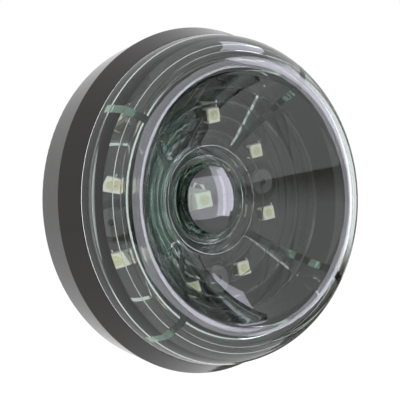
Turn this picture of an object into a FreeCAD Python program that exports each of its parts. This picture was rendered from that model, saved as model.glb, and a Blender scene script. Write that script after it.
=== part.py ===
"""Round LED tail light for a motorcycle: a black die-cast cup under a clear moulded lens.

The lamp faces -Y with +Z up. The origin is the middle of the flat rear face, between the two
tapped holes. Profiles are drawn in (radius, forward) pairs, where forward is the distance in front
of the rear face, and are turned about the Y axis. All sizes are in millimetres.
"""

import math
import os

import FreeCAD
import Part

Vector = FreeCAD.Vector

# Housing: a cup whose outside is two cones that meet at its widest edge
SEAM_RADIUS = 40.0  # where the lens skirt stands on the housing
BELLY_OVERHANG = 2.2  # widest edge of the housing, outside the seam
BACK_TAPER = 2.2  # rear face, inside the widest edge
HOUSING_DEPTH = 16.5  # rear face to seam
BELLY_SETBACK = 6.2  # widest edge, behind the seam
BACK_EDGE_ROUND = 1.2
FLOOR_THICKNESS = 3.0
LIP_WALL = 1.6  # upstand inside the lens skirt
LIP_HEIGHT = 2.7  # above the seam
LIP_EDGE_BREAK = 0.4
SEAM_EDGE_ROUND = 0.3

# Lens: skirt, dome, rounded crest, bowl and bull's-eye, all one moulding
SKIRT_WALL = 2.2
SKIRT_LIP_CLEARANCE = 0.2
SKIRT_EDGE_BREAK = 0.4
DOME_LAND = 0.8  # straight part of the skirt above the seam
DOME_WIDTH = 8.0  # seam to crest
CREST_HEIGHT = 12.0  # above the seam
CREST_INNER_ROUND = 3.0
# Inside the dome, sloping treads and upright risers step down from the crest to the skirt
TREAD_SLOPE_DEG = 33.0  # the treads fall outwards
CEILING_WIDTH = 2.75  # crest to the upper riser
CEILING_DEPTH = 3.2  # crest to the ceiling's outer edge
UPPER_RISER = 0.3
UPPER_TREAD = 1.25
LOWER_RISER = 0.35
BOWL_LIP_SLOPE_DEG = 52.0  # steepness of the bowl where it leaves the crest
BOWL_WALL = 3.8
THROAT_RADIUS = 13.5  # ring where the bowl meets the bull's-eye
THROAT_DEPTH = 14.4  # below the crest
THROAT_LAND = 0.7
BULLSEYE_RADIUS = 9.0
BULLSEYE_RISE = 0.8  # foot of the bull's-eye above the throat
BULLSEYE_HEIGHT = 3.0
COLLIMATOR_RADIUS = 11.0  # groove round the crowned foot that faces the middle diode
COLLIMATOR_CROWN = 1.5
COLLIMATOR_EDGE_ROUND = 1.5
COLLIMATOR_LED_GAP = 0.5
RIB_COUNT = 4
RIB_START_DEG = 45.0
RIB_THICKNESS = 2.0
RIB_ROOT = 0.8  # the ribs start inside the bowl's wall, this far outside the groove
RIB_NOTCH_CLEARANCE = 0.3  # each side, in the housing lip
RIB_WALL_CLEARANCE = 0.3

# Seal in the shoulder under the lens skirt
SEAL_WIDTH = 1.0
SEAL_DEPTH = 0.9

# Circuit board and the stepped ring that holds its edge down
BOARD_THICKNESS = 1.6
BOARD_STANDOFF = 2.7  # housing floor to the back of the board
BOARD_EDGE_CLEARANCE = 0.6
BOARD_TURN_DEG = 1.5  # the board's pattern, against the ribs of the lens
BEZEL_BORE_RADIUS = 27.8
BEZEL_STEP_HEIGHTS = [0.8, 2.2, 3.7]  # from the bore outwards
BEZEL_STEP_SHARES = [0.35, 0.27]  # of the ring's width; the last step takes the rest
BEZEL_EDGE_CLEARANCE = 0.3
BEZEL_EDGE_BREAK = 0.3

# Board screws, with their washers, in bosses on the housing floor
SCREW_COUNT = 4
SCREW_CIRCLE_RADIUS = 20.2
SCREW_RADIUS = 1.45
SCREW_LENGTH = 6.0
SCREW_HEAD_RADIUS = 3.25
SCREW_HEAD_HEIGHT = 1.2
SCREW_HEAD_ROUND = 0.5
SCREW_SOCKET_WIDTH = 1.5  # across the flats of its hexagon
SCREW_SOCKET_DEPTH = 0.8
SCREW_THREAD_CLEARANCE = 0.05
SCREW_BOARD_CLEARANCE = 0.25
SCREW_TIP_CLEARANCE = 0.5
SCREW_BOSS_WALL = 1.7
WASHER_RADIUS = 5.1
WASHER_THICKNESS = 0.6

# Light-emitting diodes: a ring and one under the bull's-eye
LED_COUNT = 8
LED_CIRCLE_RADIUS = 21.3
LED_START_DEG = 22.5
LED_LENGTH = 3.2
LED_WIDTH = 2.8
LED_HEIGHT = 2.4
LED_BASE_HEIGHT = 1.1  # straight foot under the drafted top
LED_TOP_DRAFT = 0.15
LED_CUP_RADIUS = 1.15
LED_CUP_DEPTH = 0.3

# Small parts soldered to the back of the board: name, across, up, length, width, height
BACK_COMPONENTS = [
    ("driver_chip", 0.0, 11.0, 4.9, 3.9, 1.5),
    ("protection_diode", 0.0, -11.0, 4.3, 2.6, 2.2),
    ("input_capacitor", -9.0, 11.0, 3.2, 2.5, 1.6),
    ("lead_connector", 9.0, -11.0, 6.0, 3.0, 2.3),
]
RESISTOR_COUNT = 4
RESISTOR_CIRCLE_RADIUS = 26.0
RESISTOR_START_DEG = 45.0
RESISTOR_LENGTH = 6.3
RESISTOR_WIDTH = 3.2
RESISTOR_HEIGHT = 0.6

# Rear fixings: two blind tapped holes and the cable inlet between them
MOUNT_SPACING = 26.0
MOUNT_HOLE_RADIUS = 2.1
MOUNT_HOLE_DEPTH = 4.8
MOUNT_BOSS_WALL = 2.5
MOUNT_BOSS_CAP = 0.6
INLET_RADIUS = 2.5
INLET_HOLE_RADIUS = 4.5
GROMMET_NECK_CLEARANCE = 0.05
GROMMET_FLANGE_RADIUS = 6.8
GROMMET_FLANGE_THICKNESS = 1.0
GROMMET_POCKET_CLEARANCE = 0.2
GROMMET_INNER_RADIUS = 6.0
GROMMET_INNER_THICKNESS = 1.4

# Levels in front of the rear face, and radii that follow from the sizes above
seam_level = HOUSING_DEPTH
belly_radius = SEAM_RADIUS + BELLY_OVERHANG
back_radius = belly_radius - BACK_TAPER
crest_level = seam_level + CREST_HEIGHT
crest_radius = SEAM_RADIUS - DOME_WIDTH
throat_level = crest_level - THROAT_DEPTH
skirt_inner_radius = SEAM_RADIUS - SKIRT_WALL
lip_outer_radius = skirt_inner_radius - SKIRT_LIP_CLEARANCE
cavity_radius = lip_outer_radius - LIP_WALL
lip_level = seam_level + LIP_HEIGHT
board_back_level = FLOOR_THICKNESS + BOARD_STANDOFF
board_front_level = board_back_level + BOARD_THICKNESS
bezel_level = board_front_level + BEZEL_STEP_HEIGHTS[-1]
led_level = board_front_level + LED_HEIGHT
collimator_foot_level = led_level + COLLIMATOR_LED_GAP
washer_level = board_front_level + WASHER_THICKNESS
seal_middle_radius = (SEAM_RADIUS - SKIRT_EDGE_BREAK + skirt_inner_radius) / 2


def point(radius, forward):
    """A point of a profile, in the half plane that is turned about the Y axis."""
    return Vector(radius, -forward, 0)


def place(across, up, forward):
    """A point of the lamp: to the right of its middle, above it and in front of its rear face."""
    return Vector(across, -forward, up)


def on_circle(radius, degrees):
    """Across and up of a point on a circle about the lamp's axis."""
    angle = math.radians(degrees)
    return radius * math.cos(angle), radius * math.sin(angle)


def spread(count, start_deg):
    """Evenly spaced angles round the axis."""
    return [start_deg + index * 360.0 / count for index in range(count)]


def line(start, end):
    """A straight edge between two points."""
    return Part.LineSegment(start, end).toShape()


def arc_through(start, middle, end):
    """A round edge through three points."""
    return Part.Arc(start, middle, end).toShape()


def corner_arc(before, corner, after, radius):
    """Start, middle and end of the arc that rounds a corner between two straight edges."""
    towards_before = (before - corner).normalize()
    towards_after = (after - corner).normalize()
    half_angle = towards_before.getAngle(towards_after) / 2
    reach = radius / math.tan(half_angle)
    bisector = (towards_before + towards_after).normalize()
    centre = corner + bisector * (radius / math.sin(half_angle))
    return corner + towards_before * reach, centre - bisector * radius, corner + towards_after * reach


def outline(corners):
    """Edges of a closed outline from (radius, forward, rounding) corners."""
    points = [point(radius, forward) for radius, forward, _ in corners]
    starts, ends, edges = [], [], []
    for index, (_, _, rounding) in enumerate(corners):
        corner = points[index]
        if rounding > 0:
            after = points[(index + 1) % len(points)]
            start, middle, end = corner_arc(points[index - 1], corner, after, rounding)
            edges.append(arc_through(start, middle, end))
        else:
            start = end = corner
        starts.append(start)
        ends.append(end)
    for index, end in enumerate(ends):
        edges.append(line(end, starts[(index + 1) % len(starts)]))
    return edges


def turned(edges):
    """The solid that a closed outline sweeps about the lamp's axis."""
    wire = Part.Wire(Part.__sortEdges__(edges))
    return Part.Face(wire).revolve(Vector(0, 0, 0), Vector(0, 1, 0), 360)


def turned_corners(corners):
    """A turned solid from (radius, forward, rounding) corners."""
    return turned(outline(corners))


def cylinder(radius, height, across, up, forward):
    """A round bar that stands forward from a place on the lamp."""
    return Part.makeCylinder(radius, height, place(across, up, forward), Vector(0, -1, 0))


def block(length, width, height, across, up, forward):
    """A block centred on a place, standing forward from it."""
    corner = place(across - length / 2, up - width / 2, forward + height)
    return Part.makeBox(length, height, width, corner)


def turn_about_axis(shape, degrees):
    """The shape turned round the lamp's axis, anticlockwise as seen from the front."""
    turned_shape = shape.copy()
    turned_shape.rotate(Vector(0, 0, 0), Vector(0, -1, 0), degrees)
    return turned_shape


def circle_about(start, tangent, end):
    """Centre and radius of the circle that leaves start along tangent and passes through end."""
    normal = Vector(-tangent.y, tangent.x, 0)
    chord = end - start
    signed_radius = chord.dot(chord) / (2 * normal.dot(chord))
    return start + normal * signed_radius, abs(signed_radius)


def circle_level(centre, radius, at_radius):
    """Forward level of the rear side of a circle of the profile, at a radius from the axis."""
    return -centre.y - math.sqrt(radius**2 - (at_radius - centre.x) ** 2)


def bowl_curve():
    """Edges of the bowl's front: the rounded crest and the long arc to the throat, and that arc's circle."""
    slope = math.radians(BOWL_LIP_SLOPE_DEG)
    crest_centre = point(crest_radius, crest_level - CREST_INNER_ROUND)
    crest_top = point(crest_radius, crest_level)
    half_slope = slope / 2
    crest_middle = crest_centre + Vector(-math.sin(half_slope), -math.cos(half_slope), 0) * CREST_INNER_ROUND
    crest_end = crest_centre + Vector(-math.sin(slope), -math.cos(slope), 0) * CREST_INNER_ROUND
    tangent = Vector(-math.cos(slope), math.sin(slope), 0)
    throat = point(THROAT_RADIUS, throat_level)
    centre, radius = circle_about(crest_end, tangent, throat)
    bowl_middle = centre + ((crest_end + throat) / 2 - centre).normalize() * radius
    edges = [arc_through(crest_top, crest_middle, crest_end), arc_through(crest_end, bowl_middle, throat)]
    return edges, centre, radius


def bullseye_curve():
    """Edges from the throat ring to the middle of the bull's-eye, on the axis."""
    throat = point(THROAT_RADIUS, throat_level)
    land_end = point(THROAT_RADIUS - THROAT_LAND, throat_level)
    foot = point(BULLSEYE_RADIUS, throat_level + BULLSEYE_RISE)
    top = point(0, throat_level + BULLSEYE_RISE + BULLSEYE_HEIGHT)
    ball_radius = (BULLSEYE_RADIUS**2 + BULLSEYE_HEIGHT**2) / (2 * BULLSEYE_HEIGHT)
    ball_centre = point(0, throat_level + BULLSEYE_RISE + BULLSEYE_HEIGHT - ball_radius)
    middle = ball_centre + ((foot + top) / 2 - ball_centre).normalize() * ball_radius
    return [line(throat, land_end), line(land_end, foot), arc_through(foot, middle, top)]


def dome_curve():
    """Edges from the lens's lower outer edge up the skirt and over the dome to the crest."""
    foot = point(SEAM_RADIUS, seam_level + SKIRT_EDGE_BREAK)
    spring = point(SEAM_RADIUS, seam_level + SKIRT_EDGE_BREAK + DOME_LAND)
    dome_height = CREST_HEIGHT - SKIRT_EDGE_BREAK - DOME_LAND
    dome_centre = point(crest_radius, seam_level + SKIRT_EDGE_BREAK + DOME_LAND)
    crest = point(crest_radius, crest_level)
    if dome_height < DOME_WIDTH:
        oval = Part.Ellipse(spring, crest, dome_centre)
    else:
        oval = Part.Ellipse(crest, spring, dome_centre)
    quarter = Part.ArcOfEllipse(oval, 0, math.pi / 2)
    return [line(foot, spring), quarter.toShape()]


def foot_curve():
    """Edges of the bull's-eye's crowned foot and of the groove round it, from the axis outwards."""
    crown_edge = COLLIMATOR_RADIUS - COLLIMATOR_EDGE_ROUND
    crown_level = collimator_foot_level + COLLIMATOR_CROWN
    crown_radius = (crown_edge**2 + COLLIMATOR_CROWN**2) / (2 * COLLIMATOR_CROWN)
    crown_centre = point(0, collimator_foot_level + crown_radius)
    middle = point(0, collimator_foot_level)
    edge = point(crown_edge, crown_level)
    between = crown_centre + ((middle + edge) / 2 - crown_centre).normalize() * crown_radius
    groove_top = point(COLLIMATOR_RADIUS, crown_level + COLLIMATOR_EDGE_ROUND)
    round_centre = point(crown_edge, crown_level + COLLIMATOR_EDGE_ROUND)
    round_middle = round_centre + Vector(1, 1, 0).normalize() * COLLIMATOR_EDGE_ROUND
    return [arc_through(middle, between, edge), arc_through(edge, round_middle, groove_top)], groove_top


def cavity_curve(bowl_centre, bowl_radius):
    """Edges of the lens's hidden side, from the axis out to the inside of the skirt's lower edge."""
    foot_edges, groove_top = foot_curve()
    hidden_radius = bowl_radius + BOWL_WALL
    side_foot = point(COLLIMATOR_RADIUS, circle_level(bowl_centre, hidden_radius, COLLIMATOR_RADIUS))
    lip_slope = math.radians(BOWL_LIP_SLOPE_DEG)
    outwards = Vector(math.sin(lip_slope), math.cos(lip_slope), 0)
    back_top = bowl_centre + outwards * hidden_radius
    back_middle = bowl_centre + ((side_foot + back_top) / 2 - bowl_centre).normalize() * hidden_radius
    # A round touches the back of the bowl and the ceiling, which falls outwards from it
    slope = math.radians(TREAD_SLOPE_DEG)
    ceiling_edge = point(crest_radius + CEILING_WIDTH, crest_level - CEILING_DEPTH)
    inwards = Vector(-math.sin(slope), math.cos(slope), 0)
    top_round = (back_top - ceiling_edge).dot(inwards) / (1 - outwards.dot(inwards))
    top_centre = back_top + outwards * top_round
    ceiling_start = top_centre - inwards * top_round
    top_middle = top_centre - (outwards + inwards).normalize() * top_round
    fall = math.tan(slope)
    upper_foot = ceiling_edge + Vector(0, UPPER_RISER, 0)
    upper_edge = upper_foot + Vector(UPPER_TREAD, UPPER_TREAD * fall, 0)
    lower_foot = upper_edge + Vector(0, LOWER_RISER, 0)
    lower_tread = skirt_inner_radius - lower_foot.x
    lower_edge = lower_foot + Vector(lower_tread, lower_tread * fall, 0)
    skirt_foot = point(skirt_inner_radius, seam_level)
    return foot_edges + [
        line(groove_top, side_foot),
        arc_through(side_foot, back_middle, back_top),
        arc_through(back_top, top_middle, ceiling_start),
        line(ceiling_start, ceiling_edge),
        line(ceiling_edge, upper_foot),
        line(upper_foot, upper_edge),
        line(upper_edge, lower_foot),
        line(lower_foot, lower_edge),
        line(lower_edge, skirt_foot),
    ]


def lens():
    """Clear one-piece lens: skirt, stepped dome, bowl and bull's-eye, with four ribs across its hollow."""
    bowl_edges, bowl_centre, bowl_radius = bowl_curve()
    front = dome_curve() + bowl_edges + bullseye_curve()
    skirt_foot = point(skirt_inner_radius, seam_level)
    skirt_edge = point(SEAM_RADIUS - SKIRT_EDGE_BREAK, seam_level)
    skirt_side = point(SEAM_RADIUS, seam_level + SKIRT_EDGE_BREAK)
    sole = [line(skirt_foot, skirt_edge), line(skirt_edge, skirt_side)]
    top = point(0, throat_level + BULLSEYE_RISE + BULLSEYE_HEIGHT)
    axis_edge = [line(top, point(0, collimator_foot_level))]
    shell = turned(front + axis_edge + cavity_curve(bowl_centre, bowl_radius) + sole)
    # The ribs are plates cut to the lens's outside, so they fill the hollow up to the bowl and the dome
    rib_reach = cavity_radius - RIB_WALL_CLEARANCE
    filled_corner = point(rib_reach, seam_level)
    filled = turned(
        front
        + [
            line(top, point(0, bezel_level)),
            line(point(0, bezel_level), point(rib_reach, bezel_level)),
            line(point(rib_reach, bezel_level), filled_corner),
            line(filled_corner, skirt_edge),
            line(skirt_edge, skirt_side),
        ]
    )
    plate_start = COLLIMATOR_RADIUS + RIB_ROOT
    plate_height = crest_level - bezel_level
    plate_length = SEAM_RADIUS - SKIRT_WALL / 2 - plate_start
    plate = block(plate_length, RIB_THICKNESS, plate_height, plate_start + plate_length / 2, 0, bezel_level)
    plates = [turn_about_axis(plate, degrees) for degrees in spread(RIB_COUNT, RIB_START_DEG)]
    ribs = [rib.common(filled) for rib in plates]
    return shell.fuse(ribs).removeSplitter()


def screw_places():
    """Across and up of each board screw."""
    return [on_circle(SCREW_CIRCLE_RADIUS, degrees) for degrees in spread(SCREW_COUNT, BOARD_TURN_DEG)]


def mount_places():
    """Across of each tapped hole in the rear face."""
    return [-MOUNT_SPACING / 2, MOUNT_SPACING / 2]


def rear_housing():
    """Black cup with the lip for the lens, board bosses, tapped holes and the cable hole."""
    body = turned_corners(
        [
            (0, 0, 0),
            (back_radius, 0, BACK_EDGE_ROUND),
            (belly_radius, seam_level - BELLY_SETBACK, 0),
            (SEAM_RADIUS, seam_level, SEAM_EDGE_ROUND),
            (lip_outer_radius, seam_level, 0),
            (lip_outer_radius, lip_level - LIP_EDGE_BREAK, 0),
            (lip_outer_radius - LIP_EDGE_BREAK, lip_level, 0),
            (cavity_radius, lip_level, 0),
            (cavity_radius, FLOOR_THICKNESS, 0),
            (0, FLOOR_THICKNESS, 0),
        ]
    )
    screw_hole_radius = SCREW_RADIUS + SCREW_THREAD_CLEARANCE
    screw_boss_radius = screw_hole_radius + SCREW_BOSS_WALL
    bosses = [
        cylinder(screw_boss_radius, BOARD_STANDOFF, across, up, FLOOR_THICKNESS)
        for across, up in screw_places()
    ]
    mount_boss_height = MOUNT_HOLE_DEPTH + MOUNT_BOSS_CAP - FLOOR_THICKNESS
    mount_boss_radius = MOUNT_HOLE_RADIUS + MOUNT_BOSS_WALL
    bosses += [
        cylinder(mount_boss_radius, mount_boss_height, across, 0, FLOOR_THICKNESS)
        for across in mount_places()
    ]
    body = body.fuse(bosses).removeSplitter()
    hole_bottom = washer_level - SCREW_LENGTH - SCREW_TIP_CLEARANCE
    cuts = [
        cylinder(screw_hole_radius, board_back_level - hole_bottom, across, up, hole_bottom)
        for across, up in screw_places()
    ]
    cuts += [cylinder(MOUNT_HOLE_RADIUS, MOUNT_HOLE_DEPTH, across, 0, 0) for across in mount_places()]
    cuts.append(cylinder(INLET_HOLE_RADIUS, FLOOR_THICKNESS, 0, 0, 0))
    pocket_depth = GROMMET_FLANGE_THICKNESS + GROMMET_POCKET_CLEARANCE
    cuts.append(cylinder(GROMMET_FLANGE_RADIUS + GROMMET_POCKET_CLEARANCE, pocket_depth, 0, 0, 0))
    cuts.append(seal_ring())
    notch_width = RIB_THICKNESS + 2 * RIB_NOTCH_CLEARANCE
    notch_length = SEAM_RADIUS - cavity_radius + LIP_WALL
    notch_middle = SEAM_RADIUS - notch_length / 2
    notch = block(notch_length, notch_width, LIP_HEIGHT, notch_middle, 0, seam_level)
    cuts += [turn_about_axis(notch, degrees) for degrees in spread(RIB_COUNT, RIB_START_DEG)]
    return body.cut(cuts)


def seal_ring():
    """Soft ring in the groove of the housing's shoulder, pressed by the lens skirt."""
    inner = seal_middle_radius - SEAL_WIDTH / 2
    outer = seal_middle_radius + SEAL_WIDTH / 2
    bottom = seam_level - SEAL_DEPTH
    return turned_corners(
        [(inner, bottom, 0), (outer, bottom, 0), (outer, seam_level, 0), (inner, seam_level, 0)]
    )


def circuit_board():
    """Round board on the four bosses, with a hole for each screw."""
    board = cylinder(cavity_radius - BOARD_EDGE_CLEARANCE, BOARD_THICKNESS, 0, 0, board_back_level)
    hole_radius = SCREW_RADIUS + SCREW_BOARD_CLEARANCE
    holes = [
        cylinder(hole_radius, BOARD_THICKNESS, across, up, board_back_level)
        for across, up in screw_places()
    ]
    return board.cut(holes)


def bezel_ring():
    """Stepped black ring on the edge of the board, held down by the lens ribs."""
    outer = cavity_radius - BEZEL_EDGE_CLEARANCE
    ring_width = outer - BEZEL_BORE_RADIUS
    corners = [(outer, board_front_level, 0), (BEZEL_BORE_RADIUS, board_front_level, 0)]
    inner = BEZEL_BORE_RADIUS
    for share, height in zip(BEZEL_STEP_SHARES, BEZEL_STEP_HEIGHTS):
        step_level = board_front_level + height
        corners.append((inner, step_level, 0))
        inner += share * ring_width
        corners.append((inner, step_level, 0))
    corners.append((inner, bezel_level, BEZEL_EDGE_BREAK))
    corners.append((outer, bezel_level, BEZEL_EDGE_BREAK))
    return turned_corners(corners)


def board_screw(across, up):
    """Low-head screw with a hexagon socket, from the washer down into its boss."""
    head_level = washer_level + SCREW_HEAD_HEIGHT
    head = turned_corners(
        [
            (0, washer_level, 0),
            (SCREW_HEAD_RADIUS, washer_level, 0),
            (SCREW_HEAD_RADIUS, head_level, SCREW_HEAD_ROUND),
            (0, head_level, 0),
        ]
    )
    socket_level = head_level - SCREW_SOCKET_DEPTH
    socket_reach = SCREW_SOCKET_WIDTH / 2 / math.cos(math.pi / 6)
    hexagon = [place(*on_circle(socket_reach, degrees), socket_level) for degrees in spread(6, 0)]
    wire = Part.makePolygon(hexagon + hexagon[:1])
    socket = Part.Face(wire).extrude(Vector(0, -SCREW_SOCKET_DEPTH, 0))
    shank = cylinder(SCREW_RADIUS, SCREW_LENGTH, 0, 0, washer_level - SCREW_LENGTH)
    screw = head.fuse(shank).removeSplitter().cut(socket)
    screw.translate(place(across, up, 0))
    return screw


def washer(across, up):
    """Black fibre washer under a screw head."""
    disc = cylinder(WASHER_RADIUS, WASHER_THICKNESS, across, up, board_front_level)
    bore = cylinder(SCREW_RADIUS + SCREW_BOARD_CLEARANCE, WASHER_THICKNESS, across, up, board_front_level)
    return disc.cut(bore)


def rectangle(length, width, across, up, forward):
    """A flat rectangular wire centred on a place, square to the lamp's axis."""
    half_length, half_width = length / 2, width / 2
    corners = [
        place(across - half_length, up - half_width, forward),
        place(across + half_length, up - half_width, forward),
        place(across + half_length, up + half_width, forward),
        place(across - half_length, up + half_width, forward),
    ]
    return Part.makePolygon(corners + corners[:1])


def led(across, up):
    """Surface-mount diode: a square foot, a drafted top and the round cup that holds the chip."""
    foot = block(LED_LENGTH, LED_WIDTH, LED_BASE_HEIGHT, across, up, board_front_level)
    base_level = board_front_level + LED_BASE_HEIGHT
    draft = 2 * LED_TOP_DRAFT
    lower = rectangle(LED_LENGTH, LED_WIDTH, across, up, base_level)
    upper = rectangle(LED_LENGTH - draft, LED_WIDTH - draft, across, up, led_level)
    top = Part.makeLoft([lower, upper], True)
    cup = cylinder(LED_CUP_RADIUS, LED_CUP_DEPTH, across, up, led_level - LED_CUP_DEPTH)
    return foot.fuse(top).removeSplitter().cut(cup)


def back_component(across, up, length, width, height):
    """A moulded part soldered to the back of the board."""
    return block(length, width, height, across, up, board_back_level - height)


def cable_grommet():
    """Rubber grommet in the cable hole, flush in its pocket in the rear face."""
    neck = INLET_HOLE_RADIUS - GROMMET_NECK_CLEARANCE
    outer_face = GROMMET_POCKET_CLEARANCE
    pocket_floor = GROMMET_FLANGE_THICKNESS + GROMMET_POCKET_CLEARANCE
    inner_face = FLOOR_THICKNESS + GROMMET_INNER_THICKNESS
    return turned_corners(
        [
            (INLET_RADIUS, outer_face, 0),
            (GROMMET_FLANGE_RADIUS, outer_face, 0),
            (GROMMET_FLANGE_RADIUS, pocket_floor, 0),
            (neck, pocket_floor, 0),
            (neck, FLOOR_THICKNESS, 0),
            (GROMMET_INNER_RADIUS, FLOOR_THICKNESS, 0),
            (GROMMET_INNER_RADIUS, inner_face, 0),
            (INLET_RADIUS, inner_face, 0),
        ]
    )


def build_parts():
    """Every piece of the lamp by its node name."""
    parts = {
        "rear_housing": rear_housing(),
        "lens": lens(),
        "lens_seal": seal_ring(),
        "circuit_board": circuit_board(),
        "bezel_ring": bezel_ring(),
        "board_screws": Part.makeCompound([board_screw(*spot) for spot in screw_places()]),
        "screw_washers": Part.makeCompound([washer(*spot) for spot in screw_places()]),
        "cable_grommet": cable_grommet(),
        "led_centre": led(0, 0),
    }
    for number, degrees in enumerate(spread(LED_COUNT, LED_START_DEG + BOARD_TURN_DEG), start=1):
        parts[f"led_{number}"] = led(*on_circle(LED_CIRCLE_RADIUS, degrees))
    for name, across, up, length, width, height in BACK_COMPONENTS:
        parts[name] = back_component(across, up, length, width, height)
    for number, degrees in enumerate(spread(RESISTOR_COUNT, RESISTOR_START_DEG), start=1):
        across, up = on_circle(RESISTOR_CIRCLE_RADIUS, degrees)
        parts[f"resistor_{number}"] = back_component(
            across, up, RESISTOR_LENGTH, RESISTOR_WIDTH, RESISTOR_HEIGHT
        )
    return parts


def main():
    """Write one STEP file for each piece."""
    os.makedirs("parts", exist_ok=True)
    for name, shape in build_parts().items():
        shape.exportStep(f"parts/{name}.step")


main()
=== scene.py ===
"""Visual model of a round LED motorcycle tail light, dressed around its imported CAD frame.

Lengths are in millimetres until they reach a mesh, a light or the camera, where MM turns them to metres.
The lamp faces -Y with +Z up, and the origin is the middle of its rear face.
"""

import logging
import math
from dataclasses import dataclass
from enum import Enum
from typing import Any

import bmesh
import bpy
from mathutils import Matrix, Vector


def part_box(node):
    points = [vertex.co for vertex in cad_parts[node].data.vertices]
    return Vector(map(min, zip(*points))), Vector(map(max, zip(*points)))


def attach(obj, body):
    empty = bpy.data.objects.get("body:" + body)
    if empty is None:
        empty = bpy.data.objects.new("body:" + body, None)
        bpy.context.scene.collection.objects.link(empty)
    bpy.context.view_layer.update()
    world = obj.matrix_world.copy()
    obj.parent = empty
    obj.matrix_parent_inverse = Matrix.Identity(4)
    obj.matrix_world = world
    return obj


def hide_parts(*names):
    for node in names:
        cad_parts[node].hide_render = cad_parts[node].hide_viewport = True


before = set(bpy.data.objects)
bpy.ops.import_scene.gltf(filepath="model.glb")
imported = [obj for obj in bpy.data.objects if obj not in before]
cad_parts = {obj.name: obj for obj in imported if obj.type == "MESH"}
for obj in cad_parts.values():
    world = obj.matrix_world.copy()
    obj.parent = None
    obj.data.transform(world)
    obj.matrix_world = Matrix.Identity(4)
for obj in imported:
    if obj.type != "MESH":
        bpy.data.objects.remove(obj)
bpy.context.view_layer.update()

log = logging.getLogger("tail_light")

MM = 0.001
BODY = "root"
IMAGE_PIXELS = 400
SENSOR_MM = 36.0
SHARP_DEG = 32.0
MERGE_MM = 0.001
SEEN_RAYS = ("Is Camera Ray", "Is Glossy Ray", "Is Transmission Ray")

Colour = tuple[float, float, float, float]


class Join(Enum):
    """How a piece takes in others, by Blender's names."""

    ADD = "UNION"
    CUT = "DIFFERENCE"


def srgb(code: str) -> Colour:
    """Turn an sRGB hex colour to linear.

    Args:
        code: Six hex digits, with or without a leading hash.

    Returns:
        Linear red, green and blue, and an alpha of one.
    """
    digits = code.lstrip("#")
    channels = [int(digits[at:at + 2], 16) / 255 for at in (0, 2, 4)]
    linear = [c / 12.92 if c <= 0.04045 else ((c + 0.055) / 1.055) ** 2.4 for c in channels]
    return (linear[0], linear[1], linear[2], 1.0)


def add_node(
    tree: bpy.types.NodeTree,
    kind: str,
    settings: dict[Any, Any] | None = None,
    links: dict[Any, bpy.types.NodeSocket] | None = None,
) -> bpy.types.Node:
    """Add one shader node with its settings and links.

    Args:
        tree: Node tree that takes the node.
        kind: Blender's type name of the node.
        settings: Values by property name, or by input name or number.
        links: Output sockets by input name or number.

    Returns:
        The new node.
    """
    node = tree.nodes.new(kind)
    for key, value in (settings or {}).items():
        if isinstance(key, str) and hasattr(node, key):
            setattr(node, key, value)
        else:
            node.inputs[key].default_value = value
    for key, source in (links or {}).items():
        tree.links.new(source, node.inputs[key])
    return node


def per_metre(size_mm: float) -> float:
    """Texture scale that gives a pattern this size in millimetres."""
    return 1.0 / (size_mm * MM)


@dataclass(frozen=True)
class Finish:
    """A surface with a colour, a gloss and the fine marks of the way that it was made.

    Attributes:
        name: What the material is and how its surface was made.
        colour: Main sRGB colour.
        colour_low: Second sRGB colour, which clouds into the first.
        roughness: Middle of the roughness range.
        roughness_swing: How far the roughness strays each way.
        cloud_mm: Size of the patches of colour and gloss.
        grain_mm: Size of the finest bumps.
        grain_height_mm: Height of the finest bumps.
        metallic: One for bare metal.
        ior: Index of refraction of a surface that isn't metal.
        coat: Weight of a clear coat.
    """

    name: str
    colour: str
    colour_low: str
    roughness: float
    roughness_swing: float
    cloud_mm: float
    grain_mm: float
    grain_height_mm: float
    metallic: float = 0.0
    ior: float = 1.5
    coat: float = 0.0

    def material(self) -> bpy.types.Material:
        """Build the material, with its clouding, gloss and grain.

        Returns:
            The new material.
        """
        material = bpy.data.materials.new(self.name)
        material.use_nodes = True
        tree = material.node_tree
        tree.nodes.clear()
        place = add_node(tree, "ShaderNodeTexCoord").outputs["Object"]
        cloud = add_node(
            tree, "ShaderNodeTexNoise", {"Scale": per_metre(self.cloud_mm), "Detail": 4.0}, {"Vector": place}
        ).outputs["Fac"]
        colour = add_node(
            tree,
            "ShaderNodeMix",
            {"data_type": "RGBA", 6: srgb(self.colour_low), 7: srgb(self.colour)},
            {0: cloud},
        ).outputs[2]
        gloss = add_node(
            tree,
            "ShaderNodeMapRange",
            {
                "To Min": max(0.0, self.roughness - self.roughness_swing),
                "To Max": self.roughness + self.roughness_swing,
            },
            {"Value": cloud},
        ).outputs["Result"]
        grain = add_node(
            tree, "ShaderNodeTexNoise", {"Scale": per_metre(self.grain_mm), "Detail": 2.0}, {"Vector": place}
        ).outputs["Fac"]
        bump = add_node(
            tree,
            "ShaderNodeBump",
            {"Strength": 1.0, "Distance": self.grain_height_mm * MM},
            {"Height": grain},
        ).outputs["Normal"]
        shader = add_node(
            tree,
            "ShaderNodeBsdfPrincipled",
            {"Metallic": self.metallic, "IOR": self.ior, "Coat Weight": self.coat},
            {"Base Color": colour, "Roughness": gloss, "Normal": bump},
        )
        add_node(tree, "ShaderNodeOutputMaterial", links={"Surface": shader.outputs["BSDF"]})
        return material


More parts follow.
